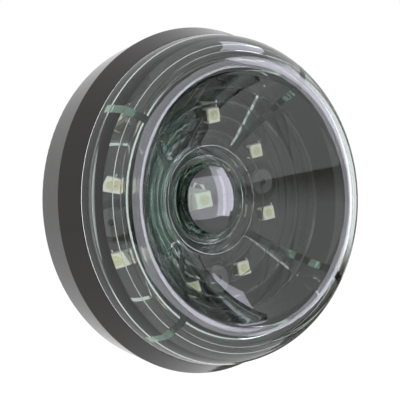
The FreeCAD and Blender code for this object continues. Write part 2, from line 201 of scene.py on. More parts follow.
@dataclass(frozen=True)
class ClearMoulding:
    """Clear polycarbonate as it leaves the mould: glossy, with a green-grey tint that deep walls gather.

    Attributes:
        name: What the material is and how its surface was made.
        tint: sRGB colour that light keeps on its way through.
        density: How fast the tint gathers, per metre.
        roughness: Roughness of the polished mould.
        flow_mm: Size of the flow marks.
        flow_height_mm: Height of the flow marks.
        ior: Index of refraction of polycarbonate.
    """

    name: str = "clear moulded polycarbonate"
    tint: str = "AEC4BB"
    density: float = 135.0
    roughness: float = 0.01
    flow_mm: float = 9.0
    flow_height_mm: float = 0.004
    ior: float = 1.585

    def material(self) -> bpy.types.Material:
        """Build the material.

        Returns:
            Glass that bends light and tints it by depth.
        """
        material = bpy.data.materials.new(self.name)
        material.use_nodes = True
        tree = material.node_tree
        tree.nodes.clear()
        place = add_node(tree, "ShaderNodeTexCoord").outputs["Object"]
        flow = add_node(
            tree, "ShaderNodeTexNoise", {"Scale": per_metre(self.flow_mm), "Detail": 2.0}, {"Vector": place}
        ).outputs["Fac"]
        bump = add_node(
            tree, "ShaderNodeBump", {"Strength": 1.0, "Distance": self.flow_height_mm * MM}, {"Height": flow}
        ).outputs["Normal"]
        glass = add_node(
            tree,
            "ShaderNodeBsdfPrincipled",
            {
                "Base Color": (1.0, 1.0, 1.0, 1.0),
                "Roughness": self.roughness,
                "IOR": self.ior,
                "Transmission Weight": 1.0,
            },
            {"Normal": bump},
        ).outputs["BSDF"]
        depth = add_node(
            tree, "ShaderNodeVolumeAbsorption", {"Color": srgb(self.tint), "Density": self.density}
        ).outputs[0]
        add_node(tree, "ShaderNodeOutputMaterial", links={"Surface": glass, "Volume": depth})
        return material


def spot(radius: float, forward: float, up: float = 0.0) -> Vector:
    """Place of a profile point: out from the axis, in front of the rear face and up, in metres."""
    return Vector((radius, -forward, up)) * MM


class ProfilePen:
    """Draws the half section of a turned piece, one edge after another, in a bmesh."""

    def __init__(self, radius: float, forward: float) -> None:
        """Start at a point of the section.

        Args:
            radius: Distance from the axis.
            forward: Distance in front of the rear face.
        """
        self.bm = bmesh.new()
        self.first = self.last = self.bm.verts.new(spot(radius, forward))

    def line_to(self, radius: float, forward: float) -> "ProfilePen":
        """Draw a straight edge.

        Args:
            radius: Distance of its end from the axis.
            forward: Distance of its end in front of the rear face.

        Returns:
            The pen.
        """
        moved = bmesh.ops.extrude_vert_indiv(self.bm, verts=[self.last])["verts"][0]
        moved.co = spot(radius, forward)
        self.last = moved
        return self

    def arc_to(self, centre: tuple[float, float], radius: float, forward: float, steps: int) -> "ProfilePen":
        """Draw the shorter round edge about a centre.

        Args:
            centre: Radius and forward distance of the arc's centre.
            radius: Distance of its end from the axis.
            forward: Distance of its end in front of the rear face.
            steps: How many short edges make it.

        Returns:
            The pen.
        """
        middle = spot(*centre)
        start, end = self.last.co - middle, spot(radius, forward) - middle
        angle = math.atan2(start.x * end.y - start.y * end.x, start.x * end.x + start.y * end.y)
        swept = bmesh.ops.spin(
            self.bm, geom=[self.last], cent=middle, axis=(0, 0, 1), angle=angle, steps=steps, use_merge=False
        )
        self.last = next(item for item in swept["geom_last"] if isinstance(item, bmesh.types.BMVert))
        self.last.co = spot(radius, forward)
        return self

    def quarter_oval_to(self, radius: float, forward: float, steps: int) -> "ProfilePen":
        """Draw a quarter of an oval that leaves along the axis and ends square to it.

        Args:
            radius: Distance of its end from the axis.
            forward: Distance of its end in front of the rear face.
            steps: How many short edges make it.

        Returns:
            The pen.
        """
        known = set(self.bm.verts)
        middle = Vector((radius * MM, self.last.co.y, 0.0))
        width = self.last.co.x - middle.x
        swept = bmesh.ops.spin(
            self.bm, geom=[self.last], cent=middle, axis=(0, 0, 1), angle=-math.pi / 2, steps=steps,
            use_merge=False,
        )
        self.last = next(item for item in swept["geom_last"] if isinstance(item, bmesh.types.BMVert))
        stretch = (forward * MM + middle.y) / width
        fresh = [vert for vert in self.bm.verts if vert not in known]
        bmesh.ops.scale(self.bm, vec=(1, stretch, 1), space=Matrix.Translation(-middle), verts=fresh)
        return self

    def close(self) -> "ProfilePen":
        """Join the last point to the first."""
        self.bm.edges.new((self.last, self.first))
        return self

    def turned(self, steps: int) -> bmesh.types.BMesh:
        """Turn the section about the lamp's axis.

        Args:
            steps: How many facets go round.

        Returns:
            The closed turned mesh.
        """
        bm = self.bm
        bmesh.ops.spin(
            bm, geom=bm.verts[:] + bm.edges[:], cent=(0, 0, 0), axis=(0, 1, 0), angle=math.tau, steps=steps,
            use_merge=True,
        )
        bmesh.ops.remove_doubles(bm, verts=bm.verts, dist=MERGE_MM * MM)
        bmesh.ops.recalc_face_normals(bm, faces=bm.faces)
        return bm

    def plate(self, thickness: float) -> bmesh.types.BMesh:
        """Fill the section and give it a thickness, half to each side.

        Args:
            thickness: Thickness of the plate.

        Returns:
            The closed flat mesh.
        """
        bm = self.bm
        bmesh.ops.remove_doubles(bm, verts=bm.verts, dist=MERGE_MM * MM)
        face = bmesh.ops.contextual_create(bm, geom=bm.edges[:])["faces"]
        bmesh.ops.translate(bm, verts=bm.verts, vec=(0, 0, -thickness * MM / 2))
        raised = bmesh.ops.extrude_face_region(bm, geom=face)["geom"]
        verts = [item for item in raised if isinstance(item, bmesh.types.BMVert)]
        bmesh.ops.translate(bm, verts=verts, vec=(0, 0, thickness * MM))
        bmesh.ops.recalc_face_normals(bm, faces=bm.faces)
        return bm


def piece(
    bm: bmesh.types.BMesh,
    name: str,
    materials: tuple[bpy.types.Material, ...] = (),
    sharp_deg: float = SHARP_DEG,
) -> bpy.types.Object:
    """Turn a bmesh to a smooth object.

    Args:
        bm: Finished mesh, which this frees.
        name: Name of the piece.
        materials: Its finishes, in the order of its faces' material numbers.
        sharp_deg: Edges that bend more than this stay crisp.

    Returns:
        The new object.
    """
    mesh = bpy.data.meshes.new(name)
    bm.to_mesh(mesh)
    bm.free()
    mesh.shade_smooth()
    mesh.set_sharp_from_angle(angle=math.radians(sharp_deg))
    made = bpy.data.objects.new(name, mesh)
    for material in materials:
        mesh.materials.append(material)
    bpy.context.scene.collection.objects.link(made)
    return made


def stand_for(made: bpy.types.Object, slot: str, *nodes: str) -> bpy.types.Object:
    """Make a piece ride on the lamp, in the place of CAD nodes if any are named.

    Args:
        made: The piece.
        slot: The record's material slot that it belongs to; not used.
        nodes: CAD nodes that it stands for.

    Returns:
        The piece.
    """
    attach(made, BODY)
    if nodes:
        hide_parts(*nodes)
    log.info("built %s", made.name)
    return made


def gathered(parts: list[tuple[bmesh.types.BMesh, int]]) -> bmesh.types.BMesh:
    """Gather meshes into one, each with its own material number.

    Args:
        parts: Meshes, which this frees, and their material numbers.

    Returns:
        The mesh that holds them all.
    """
    whole = bmesh.new()
    for bm, number in parts:
        for face in bm.faces:
            face.material_index = number
        mesh = bpy.data.meshes.new("part")
        bm.to_mesh(mesh)
        bm.free()
        whole.from_mesh(mesh)
        bpy.data.meshes.remove(mesh)
    return whole


def block(
    size: tuple[float, float, float], place: tuple[float, float, float], round_edges: float
) -> bmesh.types.BMesh:
    """Make a block with rounded edges.

    Args:
        size: Its size across, along the axis and up.
        place: Its middle, across, in front of the rear face and up.
        round_edges: Radius of its edges.

    Returns:
        The closed mesh.
    """
    bm = bmesh.new()
    across, forward, up = place
    shape = Matrix.Translation(spot(across, forward, up)) @ Matrix.Diagonal((*(Vector(size) * MM), 1.0))
    bmesh.ops.create_cube(bm, size=1.0, matrix=shape)
    bmesh.ops.bevel(
        bm, geom=bm.edges[:], offset=round_edges * MM, affect="EDGES", segments=3, profile=0.5, material=-1
    )
    return bm


def combine(
    base: bpy.types.Object, tools: list[bpy.types.Object], join: Join, sharp_deg: float = SHARP_DEG
) -> None:
    """Join or cut a piece with others, which are used up.

    Args:
        base: Piece that keeps the result.
        tools: Pieces that are joined to it or cut from it.
        join: Whether they are joined or cut.
        sharp_deg: Edges that bend more than this stay crisp.
    """
    for tool in tools:
        step = base.modifiers.new("combine", "BOOLEAN")
        step.operation, step.solver, step.object = join.value, "EXACT", tool
    bpy.context.view_layer.update()
    shaped = base.evaluated_get(bpy.context.evaluated_depsgraph_get())
    mesh = bpy.data.meshes.new_from_object(shaped)
    base.modifiers.clear()
    old, name = base.data, base.data.name
    base.data = mesh
    bpy.data.meshes.remove(old)
    mesh.name = name
    mesh.shade_smooth()
    mesh.set_sharp_from_angle(angle=math.radians(sharp_deg))
    for tool in tools:
        data = tool.data
        bpy.data.objects.remove(tool)
        bpy.data.meshes.remove(data)


@dataclass
class LensMoulding:
    """Clear one-piece lens: skirt, dome, crest, bowl, bull's-eye, steps inside the dome and four ribs.

    Levels are distances in front of the lamp's rear face.

    Attributes:
        seam_radius: Outside of the skirt.
        seam_level: Foot of the skirt.
        edge_break: Chamfer of the skirt's outer edge.
        dome_land: Straight wall between the chamfer and the dome.
        crest_radius: Radius of the ring where the lens stands furthest forward.
        crest_level: Level of that ring.
        crest_round: Radius of the rounding from the crest into the bowl.
        bowl_slope_deg: Slope of the bowl where it leaves the crest's rounding.
        bowl_wall: Thickness of the bowl.
        throat_radius: Radius of the bowl's lower edge.
        throat_level: Level of the bowl's lower edge.
        throat_bead: Radius of the bead round that edge.
        moat_radius: Radius of the foot of the moat between the bead and the bull's-eye.
        moat_level: Level of the foot of the moat.
        eye_radius: Radius of the bull's-eye.
        eye_rise: How far the edge of the bull's-eye stands in front of the throat.
        eye_height: How far its middle stands in front of its edge.
        post_radius: Radius of the foot behind the bull's-eye.
        post_level: Level of the middle of the foot.
        post_crown: How far the middle of the foot stands behind its edge.
        post_round: Radius of the foot's edge.
        skirt_inner: Inside of the skirt.
        tread_slope_deg: Slope of the treads inside the dome.
        ceiling_width: How far the ceiling's edge lies outside the crest.
        ceiling_depth: How far the ceiling's edge lies behind the crest.
        upper_riser: Height of the upper step.
        upper_tread: Width of the upper step.
        lower_riser: Height of the lower step.
        ring_edges: Outer radius of each prism ring behind the bowl.
        ring_tilt_deg: How far each ring leans from the bowl's wall.
        rib_count: How many ribs there are.
        rib_start_deg: Place of the first rib round the axis.
        rib_thickness: Thickness of a rib.
        rib_root: Space between the foot and a rib.
        rib_inset: How far the inner end of a rib's front lies inside the throat.
        rib_reach: Outer edge of a rib behind the skirt.
        rib_level: Rear edge of a rib.
        rib_bury: How far a rib goes into the dome's wall, outwards and forwards.
        around: How many facets go round.
        dome_facets: Facets of the dome's section.
        crest_facets: Facets of the crest's rounding.
        bowl_facets: Facets of each face of the bowl.
        eye_facets: Facets of the bull's-eye.
        post_facets: Facets of the foot's crown.
        round_facets: Facets of the bead's quarters and of the foot's edge.
        groove_facets: Facets of the round top of the groove.
        rib_facets: Facets of a rib's front.
    """

    seam_radius: float = 40.0
    seam_level: float = 16.5
    edge_break: float = 0.4
    dome_land: float = 0.8
    crest_radius: float = 32.0
    crest_level: float = 28.5
    crest_round: float = 3.0
    bowl_slope_deg: float = 52.0
    bowl_wall: float = 3.8
    throat_radius: float = 13.5
    throat_level: float = 14.1
    throat_bead: float = 0.3
    moat_radius: float = 9.8
    moat_level: float = 11.9
    eye_radius: float = 8.1
    eye_rise: float = 1.3
    eye_height: float = 1.4
    post_radius: float = 11.0
    post_level: float = 10.2
    post_crown: float = 1.5
    post_round: float = 1.2
    skirt_inner: float = 37.8
    tread_slope_deg: float = 33.0
    ceiling_width: float = 2.75
    ceiling_depth: float = 3.2
    upper_riser: float = 0.3
    upper_tread: float = 1.25
    lower_riser: float = 0.35
    ring_edges: tuple[float, ...] = (14.0, 17.5, 21.0, 24.5, 28.0)
    ring_tilt_deg: float = 9.0
    rib_count: int = 4
    rib_start_deg: float = 45.0
    rib_thickness: float = 2.0
    rib_root: float = 0.8
    rib_inset: float = 1.0
    rib_reach: float = 35.7
    rib_level: float = 11.0
    rib_bury: tuple[float, float] = (0.8, 1.2)
    around: int = 160
    dome_facets: int = 24
    crest_facets: int = 10
    bowl_facets: int = 18
    eye_facets: int = 16
    post_facets: int = 14
    round_facets: int = 6
    groove_facets: int = 10
    rib_facets: int = 12

    def bowl(self) -> tuple[tuple[float, float], tuple[float, float], float]:
        """Find the bowl's long arc.

        Returns:
            The point where it leaves the crest's rounding, its centre and its radius.
        """
        slope = math.radians(self.bowl_slope_deg)
        start = Vector((
            self.crest_radius - self.crest_round * math.sin(slope),
            self.crest_level - self.crest_round * (1 - math.cos(slope)),
        ))
        inward = Vector((-math.sin(slope), math.cos(slope)))
        chord = Vector((self.throat_radius, self.throat_level)) - start
        radius = chord.dot(chord) / (2 * inward.dot(chord))
        centre = start + inward * radius
        return tuple(start), tuple(centre), radius

    def steps(self) -> list[tuple[float, float]]:
        """Find the corners of the steps inside the dome, from the ceiling's edge to the skirt.

        Returns:
            Radius and level of each corner.
        """
        fall = math.tan(math.radians(self.tread_slope_deg))
        inner, level = self.crest_radius + self.ceiling_width, self.crest_level - self.ceiling_depth
        middle = inner + self.upper_tread
        upper = level - self.upper_riser
        lower = upper - self.upper_tread * fall - self.lower_riser
        return [
            (inner, level),
            (inner, upper),
            (middle, upper - self.upper_tread * fall),
            (middle, lower),
            (self.skirt_inner, lower - (self.skirt_inner - middle) * fall),
        ]

    def rings(self, centre: tuple[float, float], back: float) -> list[tuple[float, float]]:
        """Find the corners of the prism rings on the back of the bowl, from the groove outwards.

        Args:
            centre: Centre of the bowl's long arc.
            back: Radius of the arc that the rings follow.

        Returns:
            Radius and level of each corner.
        """
        found = []
        edges = (self.post_radius, *self.ring_edges)
        levels = [centre[1] - math.sqrt(back**2 - (edge - centre[0]) ** 2) for edge in edges]
        for inner, outer, low, high in zip(edges, edges[1:], levels, levels[1:]):
            slope = math.atan2(high - low, outer - inner) + math.radians(self.ring_tilt_deg)
            found += [(inner, low), (outer, low + (outer - inner) * math.tan(slope))]
        return [*found, (edges[-1], levels[-1])]

    def section(self) -> ProfilePen:
        """Draw the lens's half section.

        Returns:
            The pen with the closed section.
        """
        start, centre, radius = self.bowl()
        eye_level = self.throat_level + self.eye_rise
        ball = (self.eye_radius**2 + self.eye_height**2) / (2 * self.eye_height)
        pen = ProfilePen(self.skirt_inner, self.seam_level)
        pen.line_to(self.seam_radius - self.edge_break, self.seam_level)
        pen.line_to(self.seam_radius, self.seam_level + self.edge_break)
        pen.line_to(self.seam_radius, self.seam_level + self.edge_break + self.dome_land)
        pen.quarter_oval_to(self.crest_radius, self.crest_level, self.dome_facets)
        pen.arc_to((self.crest_radius, self.crest_level - self.crest_round), *start, self.crest_facets)
        pen.arc_to(centre, self.throat_radius, self.throat_level, self.bowl_facets)
        rim = self.throat_radius - self.throat_bead
        pen.arc_to((rim, self.throat_level), rim, self.throat_level + self.throat_bead, self.round_facets)
        pen.arc_to((rim, self.throat_level), rim - self.throat_bead, self.throat_level, self.round_facets)
        pen.line_to(self.moat_radius, self.moat_level)
        pen.line_to(self.eye_radius, eye_level)
        eye_top = eye_level + self.eye_height
        pen.arc_to((0.0, eye_top - ball), 0.0, eye_top, self.eye_facets)
        pen.line_to(0.0, self.post_level)
        foot = self.post_radius - self.post_round
        foot_level = self.post_level + self.post_crown
        crown = (foot**2 + self.post_crown**2) / (2 * self.post_crown)
        pen.arc_to((0.0, self.post_level + crown), foot, foot_level, self.post_facets)
        edge_level = foot_level + self.post_round
        pen.arc_to((foot, edge_level), self.post_radius, edge_level, self.round_facets)
        back = radius + self.bowl_wall
        away = (Vector(start) - Vector(centre)) / radius
        for corner in self.rings(centre, back):
            pen.line_to(*corner)
        top = Vector(centre) + away * back
        pen.arc_to(centre, top.x, top.y, self.bowl_facets)
        # The round top of the groove touches the back of the bowl and the sloping ceiling
        slope = math.radians(self.tread_slope_deg)
        under = Vector((-math.sin(slope), -math.cos(slope)))
        corners = self.steps()
        groove = (top - Vector(corners[0])).dot(under) / (1 - away.dot(under))
        middle = top + away * groove
        meet = middle - under * groove
        pen.arc_to(tuple(middle), meet.x, meet.y, self.groove_facets)
        for corner in corners:
            pen.line_to(*corner)
        return pen.close()

    def rib(self, turn_deg: float) -> bpy.types.Object:
        """Make one rib, buried in the walls that it joins.

        Args:
            turn_deg: Its place round the axis.

        Returns:
            The rib as an object.
        """
        start, centre, radius = self.bowl()
        mid = radius + self.bowl_wall / 2
        away = (Vector(start) - Vector(centre)) / radius
        top = Vector(centre) + away * mid
        low = self.throat_radius - self.rib_inset
        low_level = centre[1] - math.sqrt(mid**2 - (low - centre[0]) ** 2)
        root = self.post_radius + self.rib_root
        out, up = self.rib_bury
        pen = ProfilePen(root, self.rib_level)
        pen.line_to(self.rib_reach, self.rib_level)
        pen.line_to(self.rib_reach, self.seam_level + self.edge_break)
        pen.line_to(self.skirt_inner + out, self.seam_level + self.edge_break)
        for radius_at, level_at in reversed(self.steps()):
            pen.line_to(radius_at + out, level_at + up)
        pen.line_to(self.crest_radius, self.crest_level - up)
        pen.line_to(top.x, top.y)
        pen.arc_to(centre, low, low_level, self.rib_facets)
        pen.line_to(root, low_level)
        bm = pen.close().plate(self.rib_thickness)
        turn = Matrix.Rotation(math.radians(-turn_deg), 3, "Y")
        bmesh.ops.rotate(bm, cent=(0, 0, 0), matrix=turn, verts=bm.verts)
        return piece(bm, f"rib_{turn_deg:.0f}")

    def build(self, material: bpy.types.Material) -> bpy.types.Object:
        """Make the whole lens.

        Args:
            material: Its finish.

        Returns:
            The lens, which stands for its CAD node.
        """
        made = piece(self.section().turned(self.around), "lens_moulding", (material,))
        angles = [self.rib_start_deg + 360.0 / self.rib_count * at for at in range(self.rib_count)]
        combine(made, [self.rib(angle) for angle in angles], Join.ADD)
        return stand_for(made, "lens_clear", "lens")


@dataclass
class Diode:
    """Surface-mount diode: a cream package with a round cup of resin and a plated terminal at each end.

    The place of each comes from its CAD node.

    Attributes:
        length: Size of the package from terminal to terminal.
        width: Size of the package across.
        height: How far it stands from the board.
        edge_round: Radius of its edges.
        cup_radius: Radius of the cup's mouth.
        cup_floor_radius: Radius of the cup's floor.
        cup_depth: Depth of the cup.
        chip_radius: Radius of the chip's bump in the resin.
        chip_foot_radius: Radius of the foot of that bump.
        chip_height: Height of that bump.
        terminal_width: Width of a terminal.
        terminal_height: How far a terminal reaches up the package's end.
        terminal_thickness: Thickness of a terminal.
        around: How many facets go round the cup.
    """

    length: float = 3.6
    width: float = 3.3
    height: float = 2.4
    edge_round: float = 0.14
    cup_radius: float = 1.2
    cup_floor_radius: float = 1.0
    cup_depth: float = 0.22
    chip_radius: float = 0.22
    chip_foot_radius: float = 0.352
    chip_height: float = 0.1
    terminal_width: float = 2.3
    terminal_height: float = 1.75
    terminal_thickness: float = 0.1
    around: int = 40

    def package(self) -> bmesh.types.BMesh:
        """Make the package on the axis, with the cup cut from its front.

        Returns:
            The closed mesh, whose back is at level zero.
        """
        size = (self.length, self.height, self.width)
        body = piece(block(size, (0.0, self.height / 2, 0.0), self.edge_round), "body")
        pen = ProfilePen(0.0, self.height - self.cup_depth)
        pen.line_to(self.cup_floor_radius, self.height - self.cup_depth)
        pen.line_to(self.cup_radius, self.height)
        pen.line_to(self.cup_radius, self.height + self.cup_depth)
        pen.line_to(0.0, self.height + self.cup_depth)
        combine(body, [piece(pen.close().turned(self.around), "cup")], Join.CUT)
        bm = bmesh.new()
        bm.from_mesh(body.data)
        mesh = body.data
        bpy.data.objects.remove(body)
        bpy.data.meshes.remove(mesh)
        return bm

    def resin(self) -> bmesh.types.BMesh:
        """Make the resin that fills the cup, with the chip's bump in its middle.

        Returns:
            The closed mesh.
        """
        floor = self.height - self.cup_depth
        face = self.height - self.cup_depth / 2
        pen = ProfilePen(0.0, floor)
        pen.line_to(self.cup_floor_radius, floor)
        pen.line_to((self.cup_floor_radius + self.cup_radius) / 2, face)
        pen.line_to(self.chip_foot_radius, face)
        pen.line_to(self.chip_radius, face + self.chip_height)
        pen.line_to(0.0, face + self.chip_height)
        return pen.close().turned(self.around)

    def terminal(self, side: int) -> bmesh.types.BMesh:
        """Make the plated terminal that wraps one end.

        Args:
            side: One for the right end, minus one for the left.

        Returns:
            The closed mesh.
        """
        middle = side * (self.length + self.terminal_thickness) / 2
        size = (self.terminal_thickness, self.terminal_height, self.terminal_width)
        return block(size, (middle, self.terminal_height / 2, 0.0), self.terminal_thickness / 3)

    def build(self, nodes: list[str], materials: tuple[bpy.types.Material, ...]) -> None:
        """Make a diode in the place of each node.

        Args:
            nodes: CAD nodes of the diodes.
            materials: Finishes of the package, the resin and the terminals.
        """
        parts = [(self.package(), 0), (self.resin(), 1), (self.terminal(-1), 2), (self.terminal(1), 2)]
        pattern = bpy.data.meshes.new("diode")
        whole = gathered(parts)
        whole.to_mesh(pattern)
        whole.free()
        for node in nodes:
            low, high = (Vector(corner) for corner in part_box(node))
            foot = Vector(((low.x + high.x) / 2, high.y, (low.z + high.z) / 2))
            bm = bmesh.new()
            bm.from_mesh(pattern)
            bmesh.ops.translate(bm, verts=bm.verts, vec=foot)
            stand_for(piece(bm, f"{node}_package", materials), "led_cream", node)
        bpy.data.meshes.remove(pattern)


@dataclass
class BoardPrint:
    """White print on the board: a frame round each diode and a bar at its marked end.

    Attributes:
        margin: Space between a diode's CAD box and its frame.
        line: Width of the lines.
        height: Thickness of the ink.
        bar: Length of the bar.
        bar_width: Width of the bar.
        bar_space: Space between the frame and the bar.
    """

    margin: float = 0.4
    line: float = 0.26
    height: float = 0.025
    bar: float = 1.1
    bar_width: float = 0.39
    bar_space: float = 0.35

    def patch(self, low: Vector, high: Vector, level: float, hollow: bool) -> bmesh.types.BMesh:
        """Print one frame or bar on the board's front.

        Args:
            low: Its lower left corner, in metres.
            high: Its upper right corner, in metres.
            level: Place of the board's front along the axis, in metres.
            hollow: True for a frame.

        Returns:
            The closed mesh.
        """
        bm = bmesh.new()
        size, middle = high - low, (high + low) / 2
        shape = Matrix.Translation((middle.x, level, middle.z)) @ Matrix.Diagonal((size.x, 1.0, size.z, 1.0))
        bmesh.ops.create_grid(
            bm, x_segments=1, y_segments=1, size=0.5, matrix=shape @ Matrix.Rotation(math.pi / 2, 4, "X")
        )
        if hollow:
            inside = bm.faces[:]
            bmesh.ops.inset_region(bm, faces=inside, thickness=self.line * MM, use_even_offset=True)
            bmesh.ops.delete(bm, geom=inside, context="FACES")
        raised = bmesh.ops.extrude_face_region(bm, geom=bm.faces[:])["geom"]
        verts = [item for item in raised if isinstance(item, bmesh.types.BMVert)]
        bmesh.ops.translate(bm, verts=verts, vec=(0, -self.height * MM, 0))
        bmesh.ops.recalc_face_normals(bm, faces=bm.faces)
        return bm

    def build(self, nodes: list[str], material: bpy.types.Material) -> None:
        """Print round every diode.

        Args:
            nodes: CAD nodes of the diodes.
            material: The ink.
        """
        parts = []
        for node in nodes:
            low, high = (Vector(corner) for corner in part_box(node))
            level = high.y
            reach = Vector((self.margin + self.line, 0.0, self.margin + self.line)) * MM
            low, high = low - reach, high + reach
            parts.append((self.patch(low, high, level, True), 0))
            left = high.x + self.bar_space * MM
            bar_low = Vector((left, level, high.z - self.bar * MM))
            bar_high = Vector((left + self.bar_width * MM, level, high.z))
            parts.append((self.patch(bar_low, bar_high, level, False), 0))
        stand_for(piece(gathered(parts), "board_print", (material,)), "board_black")


@dataclass
class Bezel:
    """Stepped ring over the edge of the board, with softened edges.

    Attributes:
        foot_level: Front of the board.
        outer_radius: Outside of the ring.
        steps: Inner radius and height of each step, from the bore outwards.
        edge_round: Radius of its edges.
        around: How many facets go round.
        round_facets: Facets of a rounded edge.
    """

    foot_level: float = 7.3
    outer_radius: float = 35.7
    steps: tuple[tuple[float, float], ...] = ((27.8, 0.8), (30.565, 2.2), (32.698, 3.7))
    edge_round: float = 0.15
    around: int = 160
    round_facets: int = 4

    def build(self, material: bpy.types.Material) -> bpy.types.Object:
        """Make the ring.

        Args:
            material: Its finish.

        Returns:
            The ring, which stands for its CAD node.
        """
        pen = ProfilePen(self.outer_radius, self.foot_level)
        pen.line_to(self.steps[0][0], self.foot_level)
        edge = self.edge_round
        outers = [inner for inner, _ in self.steps[1:]] + [self.outer_radius - edge]
        for (inner, height), outer in zip(self.steps, outers):
            level = self.foot_level + height
            pen.line_to(inner, level - edge)
            pen.arc_to((inner + edge, level - edge), inner + edge, level, self.round_facets)
            pen.line_to(outer, level)
        rim = self.outer_radius - edge
        pen.arc_to((rim, level - edge), self.outer_radius, level - edge, self.round_facets)
        made = piece(pen.close().turned(self.around), "bezel_moulding", (material,))
        return stand_for(made, "bezel_black", "bezel_ring")


@dataclass
class PaintedHighlightBeads:
    """Two fine pale beads, along the seam and on the housing's lip, that are painted highlights standing for
    the bright lines of those edges.

    Attributes:
        beads: Radius, level and half thickness of each bead.
        sides: Sides of a bead's section.
        around: How many facets go round.
    """

    beads: tuple[tuple[float, float, float], ...] = ((39.84, 16.62, 0.09), (37.58, 19.02, 0.2))
    sides: int = 8
    around: int = 160

    def build(self, material: bpy.types.Material) -> bpy.types.Object:
        """Make both beads.

        Args:
            material: Pale finish that paints the highlight lines.

        Returns:
            The beads as one piece.
        """
        rings = []
        for radius, level, half in self.beads:
            pen = ProfilePen(radius + half, level)
            for at in range(1, self.sides):
                turn = math.tau * at / self.sides
                pen.line_to(radius + half * math.cos(turn), level + half * math.sin(turn))
            rings.append((pen.close().turned(self.around), 0))
        # Painted highlights: pale beads that stand for the bright lines along the seam and the lip's edge
        return stand_for(piece(gathered(rings), "bond_line", (material,)), "lens_clear")


@dataclass
class RearFixings:
    """What the rear face shows: a rubber grommet for the cable and the threads of the two tapped holes.

    Attributes:
        bore_radius: Bore of the grommet.
        flange_radius: Radius of its outer flange.
        flange_face: Level of the outer flange's face.
        flange_back: Level of the outer flange's back.
        neck_radius: Radius of its neck, in the housing's floor.
        floor_level: Level of the inside of the housing's floor.
        inner_radius: Radius of its inner flange.
        inner_level: Level of the inner flange's face.
        lip: Radius of its rounded edges.
        bead_radius: Radius of the groove moulded on the outer flange.
        bead: Depth of that groove, and half the width of its floor.
        around: How many facets go round the grommet.
        round_facets: Facets of its rounded edges.
        hole_radius: Radius of a tapped hole.
        hole_spacing: Distance between the two holes.
        hole_depth: Depth of a hole.
        hole_facets: How many facets go round a thread.
        thread_start: Level of the first turn.
        thread_pitch: Pitch of the thread.
        thread_depth: Depth of the thread.
        thread_crest: Where the crest starts and ends, as shares of the pitch.
        thread_gap: Thickness that the thread keeps at its root.
    """

    bore_radius: float = 2.5
    flange_radius: float = 6.8
    flange_face: float = 0.2
    flange_back: float = 1.2
    neck_radius: float = 4.45
    floor_level: float = 3.0
    inner_radius: float = 6.0
    inner_level: float = 4.4
    lip: float = 0.4
    bead_radius: float = 4.6
    bead: float = 0.16
    around: int = 72
    round_facets: int = 6
    hole_radius: float = 2.1
    hole_spacing: float = 26.0
    hole_depth: float = 4.7
    hole_facets: int = 48
    thread_start: float = 0.3
    thread_pitch: float = 0.8
    thread_depth: float = 0.42
    thread_crest: tuple[float, float] = (0.42, 0.58)
    thread_gap: float = 0.02

    def grommet(self, material: bpy.types.Material) -> None:
        """Make the grommet, with a rounded mouth and a moulded groove on its flange.

        Args:
            material: Soft rubber.
        """
        face, rounded = self.flange_face, self.flange_face + self.lip
        mouth, rim = self.bore_radius + self.lip, self.flange_radius - self.lip
        pen = ProfilePen(self.bore_radius, self.inner_level)
        pen.line_to(self.bore_radius, rounded)
        pen.arc_to((mouth, rounded), mouth, face, self.round_facets)
        pen.line_to(self.bead_radius - 2 * self.bead, face)
        pen.line_to(self.bead_radius - self.bead, face + self.bead)
        pen.line_to(self.bead_radius + self.bead, face + self.bead)
        pen.line_to(self.bead_radius + 2 * self.bead, face)
        pen.line_to(rim, face)
        pen.arc_to((rim, rounded), self.flange_radius, rounded, self.round_facets)
        pen.line_to(self.flange_radius, self.flange_back)
        pen.line_to(self.neck_radius, self.flange_back)
        pen.line_to(self.neck_radius, self.floor_level)
        pen.line_to(self.inner_radius, self.floor_level)
        pen.line_to(self.inner_radius, self.inner_level)
        made = piece(pen.close().turned(self.around), "grommet_moulding", (material,))
        stand_for(made, "grommet_rubber", "cable_grommet")

    def thread(self, side: int) -> bmesh.types.BMesh:
        """Make the thread that lines one tapped hole, as rings of its pitch.

        Args:
            side: One for the right hole, minus one for the left.

        Returns:
            The closed mesh.
        """
        crest = self.hole_radius - self.thread_depth
        turns = int(self.hole_depth / self.thread_pitch)
        pen = ProfilePen(self.hole_radius, self.thread_start)
        for turn in range(turns):
            level = self.thread_start + turn * self.thread_pitch
            for share in self.thread_crest:
                pen.line_to(crest, level + self.thread_pitch * share)
            pen.line_to(self.hole_radius - self.thread_gap, level + self.thread_pitch)
        pen.line_to(self.hole_radius, self.thread_start + turns * self.thread_pitch)
        bm = pen.close().turned(self.hole_facets)
        bmesh.ops.translate(bm, verts=bm.verts, vec=spot(side * self.hole_spacing / 2, 0.0))
        return bm

    def build(self, rubber: bpy.types.Material, metal: bpy.types.Material) -> None:
        """Make the grommet and the threads.

        Args:
            rubber: Finish of the grommet.
            metal: Finish of the threads.
        """
        self.grommet(rubber)
        threads = gathered([(self.thread(side), 0) for side in (-1, 1)])
        stand_for(piece(threads, "hole_threads", (metal,)), "housing_black")


# Black gloss coat on die-cast metal: deep, smooth, with a slight orange peel
HOUSING_COAT = Finish("gloss black coat on cast metal", "0A0706", "080504", 0.12, 0.03, 14.0, 1.6, 0.0006)
# Bare threads cut through the coat
CUT_METAL = Finish("cut cast metal", "8E8C88", "777571", 0.35, 0.08, 1.0, 0.2, 0.004, metallic=1.0)
# Dark grey solder mask: satin and nearly flat
SOLDER_MASK = Finish("dark solder mask", "313132", "2C2C2D", 0.42, 0.06, 6.0, 0.4, 0.003)
# White ink of the board's print
INK = Finish("white printed ink", "E9E9E4", "DADAD4", 0.6, 0.05, 1.0, 0.2, 0.003)
# Satin black moulding of the stepped ring
BEZEL_PLASTIC = Finish("satin black moulded plastic", "171718", "121213", 0.32, 0.05, 7.0, 0.5, 0.004)
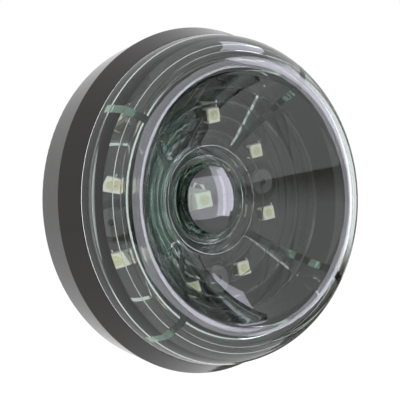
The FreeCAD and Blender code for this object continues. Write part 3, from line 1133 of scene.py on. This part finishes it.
# Pale glossy beads: painted highlight lines along the lens seam and the housing's lip
PAINTED_HIGHLIGHT_BEAD = Finish("cured pale adhesive", "B8BCBE", "ACB0B2", 0.2, 0.04, 3.0, 0.5, 0.004)
# Cream thermoplastic of the diode packages
DIODE_PLASTIC = Finish("cream moulded diode package", "FFF9EC", "F4EDDA", 0.45, 0.05, 1.5, 0.3, 0.002)
# Pale yellow resin in the diodes' cups
RESIN = Finish("pale yellow cast resin", "EDE4C0", "DFD5A8", 0.3, 0.05, 0.8, 0.3, 0.002)
# Tin plate of the diodes' terminals
TIN_PLATE = Finish("dull tin plate", "9A8F7C", "7A705F", 0.4, 0.08, 0.8, 0.2, 0.003, metallic=1.0)
# Dull phosphate on a steel screw
DULL_STEEL = Finish("dull phosphated steel", "5E5E60", "525254", 0.5, 0.06, 1.2, 0.25, 0.003)
# Black fibre of the washers
FIBRE = Finish("black fibre washer", "070707", "050505", 0.6, 0.08, 1.5, 0.35, 0.01)
# Soft black rubber with a dry bloom
RUBBER = Finish("soft black rubber", "222120", "191817", 0.62, 0.08, 4.0, 0.5, 0.01)
# Black epoxy packages behind the board
EPOXY = Finish("black moulded epoxy", "1E1E20", "161617", 0.5, 0.06, 2.0, 0.3, 0.004)
# Tan ceramic of the capacitor
CERAMIC = Finish("tan fired ceramic", "A88256", "8F6C45", 0.45, 0.06, 1.5, 0.3, 0.003)
# Cream nylon of the wire connector
NYLON = Finish("cream moulded nylon", "DED8C4", "CBC4AE", 0.48, 0.06, 2.0, 0.4, 0.003)
# Clear polycarbonate of the lens, with the polish of its mould
CLEAR_LENS = ClearMoulding()


@dataclass(frozen=True)
class Softbox:
    """A soft lamp.

    Attributes:
        name: Name of the lamp.
        place: Where it hangs.
        size: Its width and height.
        colour: sRGB colour of its light.
        brightness: Radiance of its face, where one is white.
        through_glass: Whether rays that have passed through the lens see its face.
    """

    name: str
    place: tuple[float, float, float]
    size: tuple[float, float]
    colour: str
    brightness: float
    through_glass: bool = True


@dataclass(frozen=True)
class Card:
    """A dark curved card round the lamp, which fades to white towards its top. The camera doesn't see it.

    Attributes:
        name: Name of the card.
        colour: sRGB colour of its dark part.
        radius: Its distance from the lamp.
        middle_deg: How far its middle is to the right of the lamp's front.
        reach_deg: How far it goes to each side of its middle.
        low: Height of its lower edge.
        dark_to: Height where it starts to fade.
        high: Height of its upper edge, where it is white.
    """

    name: str
    colour: str
    radius: float
    middle_deg: float
    reach_deg: float
    low: float
    dark_to: float
    high: float


@dataclass
class Studio:
    """Floor, world, cards, lamps and camera.

    Attributes:
        seam_level: Height of the lens seam in front of the rear face, which the camera looks at.
        distance: Camera distance from the middle of the seam.
        yaw_deg: How far the camera stands to the left of the lamp's front.
        pitch_deg: How far the camera stands above the lamp's axis, before the roll.
        roll_deg: How far the lamp is turned about its own axis in the photograph.
        focal_pixels: Focal length in pixels of the image.
        aim_pixels: Place of the seam's middle in the image, right and down from its centre.
        floor_level: Height of the floor.
        floor_radius: Size of the floor.
        floor_colour: sRGB colour of the floor's paper.
        floor_white: How much of the floor the camera, gloss and glass see as white.
        tent_colour: sRGB colour of the room's even light.
        tent_strength: Strength of the room's even light.
        cards: Dark cards that gloss and glass see.
        softboxes: Soft lamps, hung upright in the photograph's frame.
        floor_facets: How many sides the floor has.
        card_facets: How many facets go along a card.
        clip: Nearest and furthest distance that the camera sees.
        glass_bounces: How often light may pass or turn in the glass.
        gloss_bounces: How often light may bounce off gloss.
    """

    seam_level: float = 16.5
    distance: float = 560.0
    yaw_deg: float = 37.55
    pitch_deg: float = -1.38
    roll_deg: float = 13.0
    focal_pixels: float = 2312.8
    aim_pixels: tuple[float, float] = (16.8, -0.4)
    floor_level: float = -380.0
    floor_radius: float = 4000.0
    floor_colour: str = "E8E8E6"
    floor_white: float = 0.98
    tent_colour: str = "FFFFFF"
    tent_strength: float = 3.3
    cards: tuple[Card, ...] = (
        Card("front_card", "5E5B58", 1900.0, -20.0, 60.0, -380.0, -240.0, 540.0),
        Card("right_card", "3A3836", 500.0, 120.0, 22.0, -380.0, 20.0, 120.0),
        Card("low_card", "3A3836", 330.0, 88.0, 32.0, -380.0, -150.0, -110.0),
    )
    softboxes: tuple[Softbox, ...] = (
        Softbox("right softbox", (782.0, -522.0, 134.0), (340.0, 700.0), "EFECFF", 3.2, False),
        Softbox("wide softbox", (765.0, -511.0, 131.0), (620.0, 900.0), "EFECFF", 3.8, False),
        Softbox("high softbox", (579.0, -45.0, 775.0), (545.0, 300.0), "EFECFF", 3.5),
        Softbox("front softbox", (390.0, -835.0, -65.0), (900.0, 1000.0), "F4F4FF", 3.0, False),
    )
    floor_facets: int = 96
    card_facets: int = 64
    clip: tuple[float, float] = (10.0, 50000.0)
    glass_bounces: int = 32
    gloss_bounces: int = 16

    def unrolled(self, x: float, y: float, z: float) -> Vector:
        """Turn a direction of the photograph's frame to the lamp's own frame.

        Args:
            x: Part to the right, seen from the front.
            y: Part towards the rear.
            z: Part upwards.

        Returns:
            The direction in the lamp's frame.
        """
        return self.roll() @ Vector((x, y, z))

    def roll(self) -> Matrix:
        """Turn from the photograph's upright to the lamp's own."""
        return Matrix.Rotation(math.radians(self.roll_deg), 3, "Y")

    def camera(self) -> None:
        """Set the camera at the photograph's place."""
        yaw, pitch = math.radians(self.yaw_deg), math.radians(self.pitch_deg)
        towards = self.unrolled(
            -math.sin(yaw) * math.cos(pitch), -math.cos(yaw) * math.cos(pitch), math.sin(pitch)
        )
        up = self.unrolled(0.0, 0.0, 1.0)
        right = up.cross(towards).normalized()
        up = towards.cross(right)
        target = Vector((0.0, -self.seam_level, 0.0))
        pixel = self.distance / self.focal_pixels
        target -= right * (self.aim_pixels[0] * pixel) - up * (self.aim_pixels[1] * pixel)
        data = bpy.data.cameras.new("camera")
        data.sensor_width = SENSOR_MM
        data.lens = self.focal_pixels * SENSOR_MM / IMAGE_PIXELS
        data.clip_start, data.clip_end = (distance * MM for distance in self.clip)
        camera = bpy.data.objects.new("camera", data)
        turn = Matrix((right, up, towards)).transposed().to_4x4()
        camera.matrix_world = Matrix.Translation((target + towards * self.distance) * MM) @ turn
        bpy.context.scene.collection.objects.link(camera)
        bpy.context.scene.camera = camera

    def white_rays(self, tree: bpy.types.NodeTree) -> bpy.types.NodeSocket:
        """Tell the rays that see a plain white ground from those that only carry light.

        The camera, gloss and glass see white. A ray that comes from a dull surface carries light, whatever it
        passed through since.

        Args:
            tree: Node tree that takes the nodes.

        Returns:
            A socket that is one for the rays that see white.
        """
        rays = add_node(tree, "ShaderNodeLightPath").outputs
        seen = rays[SEEN_RAYS[0]]
        for name in SEEN_RAYS[1:]:
            either = add_node(tree, "ShaderNodeMath", {"operation": "MAXIMUM"}, {0: seen, 1: rays[name]})
            seen = either.outputs[0]
        direct = add_node(
            tree, "ShaderNodeMath", {"operation": "LESS_THAN", 1: 0.5}, {0: rays["Diffuse Depth"]}
        ).outputs[0]
        return add_node(tree, "ShaderNodeMath", {"operation": "MULTIPLY"}, {0: seen, 1: direct}).outputs[0]

    def world(self) -> None:
        """Light the room evenly, with a white ground for what the camera, gloss and glass see."""
        world = bpy.data.worlds.new("studio")
        world.use_nodes = True
        tree = world.node_tree
        tree.nodes.clear()
        room = add_node(
            tree, "ShaderNodeBackground", {"Color": srgb(self.tent_colour), "Strength": self.tent_strength}
        ).outputs[0]
        white = add_node(tree, "ShaderNodeBackground", {"Color": srgb("FFFFFF"), "Strength": 1.0}).outputs[0]
        seen = self.white_rays(tree)
        mixed = add_node(tree, "ShaderNodeMixShader", links={0: seen, 1: room, 2: white}).outputs[0]
        add_node(tree, "ShaderNodeOutputWorld", links={"Surface": mixed})
        bpy.context.scene.world = world

    def paper(self, name: str, colour: str, white: float) -> bpy.types.Material:
        """Make the plain paper of a piece of the studio.

        Args:
            name: Name of the material.
            colour: sRGB colour of the paper.
            white: How much of the paper the camera, gloss and glass see as white.

        Returns:
            The new material.
        """
        material = bpy.data.materials.new(name)
        material.use_nodes = True
        tree = material.node_tree
        tree.nodes.clear()
        surface = add_node(tree, "ShaderNodeBsdfDiffuse", {"Color": srgb(colour)}).outputs[0]
        glow = add_node(tree, "ShaderNodeEmission", {"Color": srgb("FFFFFF"), "Strength": 1.0}).outputs[0]
        seen = self.white_rays(tree)
        share = add_node(
            tree, "ShaderNodeMath", {"name": "white share", "operation": "MULTIPLY", 1: white}, {0: seen}
        ).outputs[0]
        mixed = add_node(tree, "ShaderNodeMixShader", links={0: share, 1: surface, 2: glow}).outputs[0]
        add_node(tree, "ShaderNodeOutputMaterial", links={"Surface": mixed})
        return material

    def floor(self) -> None:
        """Lay the floor well below the lamp, which hangs by its mount."""
        bm = bmesh.new()
        bmesh.ops.create_circle(
            bm, cap_ends=True, segments=self.floor_facets, radius=self.floor_radius * MM,
            matrix=Matrix.Translation((0, 0, self.floor_level * MM)),
        )
        self.stage(bm, "floor", self.paper("pale floor paper", self.floor_colour, self.floor_white))

    def card(self, card: Card) -> None:
        """Stand a dark card in the room.

        Args:
            card: Its place, size and colour.
        """
        bm = bmesh.new()
        reach = math.radians(card.reach_deg)
        low = bm.verts.new((0, -card.radius * MM, card.low * MM))
        high = bm.verts.new((0, -card.radius * MM, card.high * MM))
        edge = bm.edges.new((low, high))
        start = math.radians(card.middle_deg) - reach
        bmesh.ops.rotate(bm, cent=(0, 0, 0), matrix=Matrix.Rotation(start, 3, "Z"), verts=bm.verts)
        bmesh.ops.spin(
            bm, geom=[low, high, edge], cent=(0, 0, 0), axis=(0, 0, 1), angle=2 * reach,
            steps=self.card_facets, use_merge=False,
        )
        material = self.paper(f"{card.name} paper", card.colour, 1.0)
        tree = material.node_tree
        place = add_node(tree, "ShaderNodeTexCoord").outputs["Object"]
        height = add_node(tree, "ShaderNodeSeparateXYZ", links={0: place}).outputs["Z"]
        fade = add_node(
            tree,
            "ShaderNodeMapRange",
            {"From Min": card.dark_to * MM, "From Max": card.high * MM},
            {"Value": height},
        ).outputs["Result"]
        tree.links.new(fade, tree.nodes["white share"].inputs[1])
        made = self.stage(bm, card.name, material)
        made.visible_camera = made.visible_diffuse = made.visible_shadow = False

    def stage(self, bm: bmesh.types.BMesh, name: str, material: bpy.types.Material) -> bpy.types.Object:
        """Add a piece of the studio that isn't part of the lamp.

        Args:
            bm: Its mesh, which this frees.
            name: Name of the piece.
            material: Its finish.

        Returns:
            The new object.
        """
        mesh = bpy.data.meshes.new(name)
        bm.to_mesh(mesh)
        bm.free()
        mesh.shade_smooth()
        mesh.materials.append(material)
        made = bpy.data.objects.new(name, mesh)
        bpy.context.scene.collection.objects.link(made)
        return made

    def softbox(self, box: Softbox) -> None:
        """Hang a soft lamp that faces the tail light.

        Args:
            box: Its place, size, colour, brightness and what sees it.
        """
        data = bpy.data.lights.new(box.name, "AREA")
        data.shape = "RECTANGLE"
        data.size, data.size_y = box.size[0] * MM, box.size[1] * MM
        data.color = srgb(box.colour)[:3]
        data.energy = box.brightness * math.pi * data.size * data.size_y
        lamp = bpy.data.objects.new(box.name, data)
        place = Vector(box.place) * MM
        hung = Matrix.Translation(place) @ place.to_track_quat("Z", "Y").to_matrix().to_4x4()
        lamp.matrix_world = self.roll().to_4x4() @ hung
        lamp.visible_transmission = box.through_glass
        bpy.context.scene.collection.objects.link(lamp)

    def build(self) -> None:
        """Set the view, the light's bounces, the world, the floor, the cards, the lamps and the camera."""
        bpy.context.scene.view_settings.view_transform = "Standard"
        cycles = bpy.context.scene.cycles
        cycles.max_bounces = cycles.transmission_bounces = self.glass_bounces
        cycles.transparent_max_bounces = self.glass_bounces
        cycles.glossy_bounces = self.gloss_bounces
        self.world()
        self.floor()
        for card in self.cards:
            self.card(card)
        for box in self.softboxes:
            self.softbox(box)
        self.camera()


def dress(node: str, material: bpy.types.Material) -> None:
    """Give a CAD node a finished material in every slot.

    Args:
        node: Name of the CAD node.
        material: The finish it takes.
    """
    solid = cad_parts[node]
    for slot in solid.material_slots:
        slot.material = material
    log.info("dressed %s with %s", node, material.name)


def main() -> None:
    """Build the studio, dress every piece and report it."""
    logging.basicConfig(level=logging.INFO, format="%(message)s")
    Studio().build()
    finishes = {
        "rear_housing": HOUSING_COAT,
        "lens_seal": RUBBER,
        "circuit_board": SOLDER_MASK,
        "board_screws": DULL_STEEL,
        "screw_washers": FIBRE,
        "driver_chip": EPOXY,
        "protection_diode": EPOXY,
        "input_capacitor": CERAMIC,
        "lead_connector": NYLON,
    }
    used = set(finishes.values()) | {
        CLEAR_LENS, PAINTED_HIGHLIGHT_BEAD, BEZEL_PLASTIC, DIODE_PLASTIC, RESIN, TIN_PLATE, INK, CUT_METAL
    }
    shop = {finish: finish.material() for finish in sorted(used, key=lambda finish: finish.name)}
    diodes = sorted(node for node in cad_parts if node.startswith("led_"))
    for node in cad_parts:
        dress(node, shop[finishes.get(node, EPOXY)])
    LensMoulding().build(shop[CLEAR_LENS])
    # Painted highlights: pale beads along the seam and the lip's edge
    PaintedHighlightBeads().build(shop[PAINTED_HIGHLIGHT_BEAD])
    Bezel().build(shop[BEZEL_PLASTIC])
    Diode().build(diodes, (shop[DIODE_PLASTIC], shop[RESIN], shop[TIN_PLATE]))
    BoardPrint().build(diodes, shop[INK])
    RearFixings().build(shop[RUBBER], shop[CUT_METAL])


if __name__ == "__main__":
    main()
